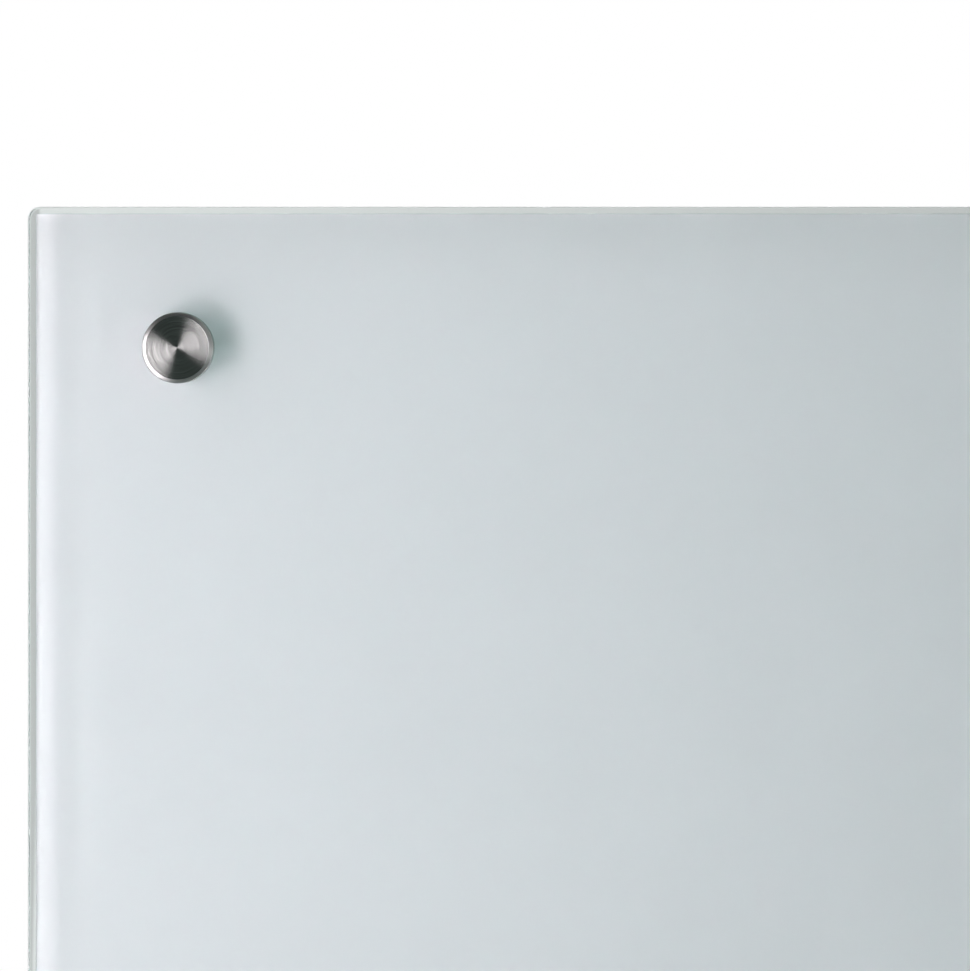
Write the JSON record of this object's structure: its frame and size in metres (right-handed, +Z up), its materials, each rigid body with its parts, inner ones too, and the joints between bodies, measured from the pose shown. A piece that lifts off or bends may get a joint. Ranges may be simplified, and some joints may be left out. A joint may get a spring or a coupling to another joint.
{
  "type": "glass whiteboard",
  "caption": "Frameless glass writing board with a white back, held off the wall by round standoffs whose caps unscrew to release the glass.",
  "frame": {"origin": "centre of the four standoffs, on the plane of the wall", "axes": "+Z up, +X to the right as seen from the front, the writing face looks along -Y and the wall lies at +Y"},
  "size_m": [0.914, 0.0672, 0.61],
  "materials": {
    "glass": "clear, polished",
    "white_backing": "smooth white film",
    "cap_steel": "circular brushed face, polished rim",
    "barrel_steel": "brushed round its side",
    "stud_steel": "plain turned steel",
    "screw_steel": "zinc plated",
    "clear_nylon": "milky nylon",
    "plug_nylon": "moulded grey nylon"
  },
  "bodies": {
    "board": {"glass_panel": "glass", "white_backing": "white_backing", "top_left_hole_sleeve": "clear_nylon", "top_left_rear_washer": "clear_nylon", "top_left_barrel": "barrel_steel", "top_left_wall_screw": "screw_steel", "top_left_wall_plug": "plug_nylon", "top_right_hole_sleeve": "clear_nylon", "top_right_rear_washer": "clear_nylon", "top_right_barrel": "barrel_steel", "top_right_wall_screw": "screw_steel", "top_right_wall_plug": "plug_nylon", "bottom_left_hole_sleeve": "clear_nylon", "bottom_left_rear_washer": "clear_nylon", "bottom_left_barrel": "barrel_steel", "bottom_left_wall_screw": "screw_steel", "bottom_left_wall_plug": "plug_nylon", "bottom_right_hole_sleeve": "clear_nylon", "bottom_right_rear_washer": "clear_nylon", "bottom_right_barrel": "barrel_steel", "bottom_right_wall_screw": "screw_steel", "bottom_right_wall_plug": "plug_nylon"},
    "top_left_washer_body": {"top_left_front_washer": "clear_nylon"},
    "top_left_cap_body": {"top_left_cap": "cap_steel", "top_left_cap_stud": "stud_steel"},
    "top_right_washer_body": {"top_right_front_washer": "clear_nylon"},
    "top_right_cap_body": {"top_right_cap": "cap_steel", "top_right_cap_stud": "stud_steel"},
    "bottom_left_washer_body": {"bottom_left_front_washer": "clear_nylon"},
    "bottom_left_cap_body": {"bottom_left_cap": "cap_steel", "bottom_left_cap_stud": "stud_steel"},
    "bottom_right_washer_body": {"bottom_right_front_washer": "clear_nylon"},
    "bottom_right_cap_body": {"bottom_right_cap": "cap_steel", "bottom_right_cap_stud": "stud_steel"}
  },
  "joints": [
    {"name": "top_left_cap_travel", "type": "slide", "parent": "board", "child": "top_left_washer_body", "axis": [0, -1, 0], "range_m": [0, 0.01]},
    {"name": "top_left_cap_turn", "type": "hinge", "parent": "top_left_washer_body", "child": "top_left_cap_body", "pos_m": [-0.416, 0, 0.267], "axis": [0, -1, 0], "range_deg": [0, 2880]},
    {"name": "top_right_cap_travel", "type": "slide", "parent": "board", "child": "top_right_washer_body", "axis": [0, -1, 0], "range_m": [0, 0.01]},
    {"name": "top_right_cap_turn", "type": "hinge", "parent": "top_right_washer_body", "child": "top_right_cap_body", "pos_m": [0.416, 0, 0.267], "axis": [0, -1, 0], "range_deg": [0, 2880]},
    {"name": "bottom_left_cap_travel", "type": "slide", "parent": "board", "child": "bottom_left_washer_body", "axis": [0, -1, 0], "range_m": [0, 0.01]},
    {"name": "bottom_left_cap_turn", "type": "hinge", "parent": "bottom_left_washer_body", "child": "bottom_left_cap_body", "pos_m": [-0.416, 0, -0.267], "axis": [0, -1, 0], "range_deg": [0, 2880]},
    {"name": "bottom_right_cap_travel", "type": "slide", "parent": "board", "child": "bottom_right_washer_body", "axis": [0, -1, 0], "range_m": [0, 0.01]},
    {"name": "bottom_right_cap_turn", "type": "hinge", "parent": "bottom_right_washer_body", "child": "bottom_right_cap_body", "pos_m": [0.416, 0, -0.267], "axis": [0, -1, 0], "range_deg": [0, 2880]}
  ],
  "couplings": [
    {"joint": "top_left_cap_turn", "follows": "top_left_cap_travel", "rad_per_m": 5026.5},
    {"joint": "top_right_cap_turn", "follows": "top_right_cap_travel", "rad_per_m": 5026.5},
    {"joint": "bottom_left_cap_turn", "follows": "bottom_left_cap_travel", "rad_per_m": 5026.5},
    {"joint": "bottom_right_cap_turn", "follows": "bottom_right_cap_travel", "rad_per_m": 5026.5}
  ]
}
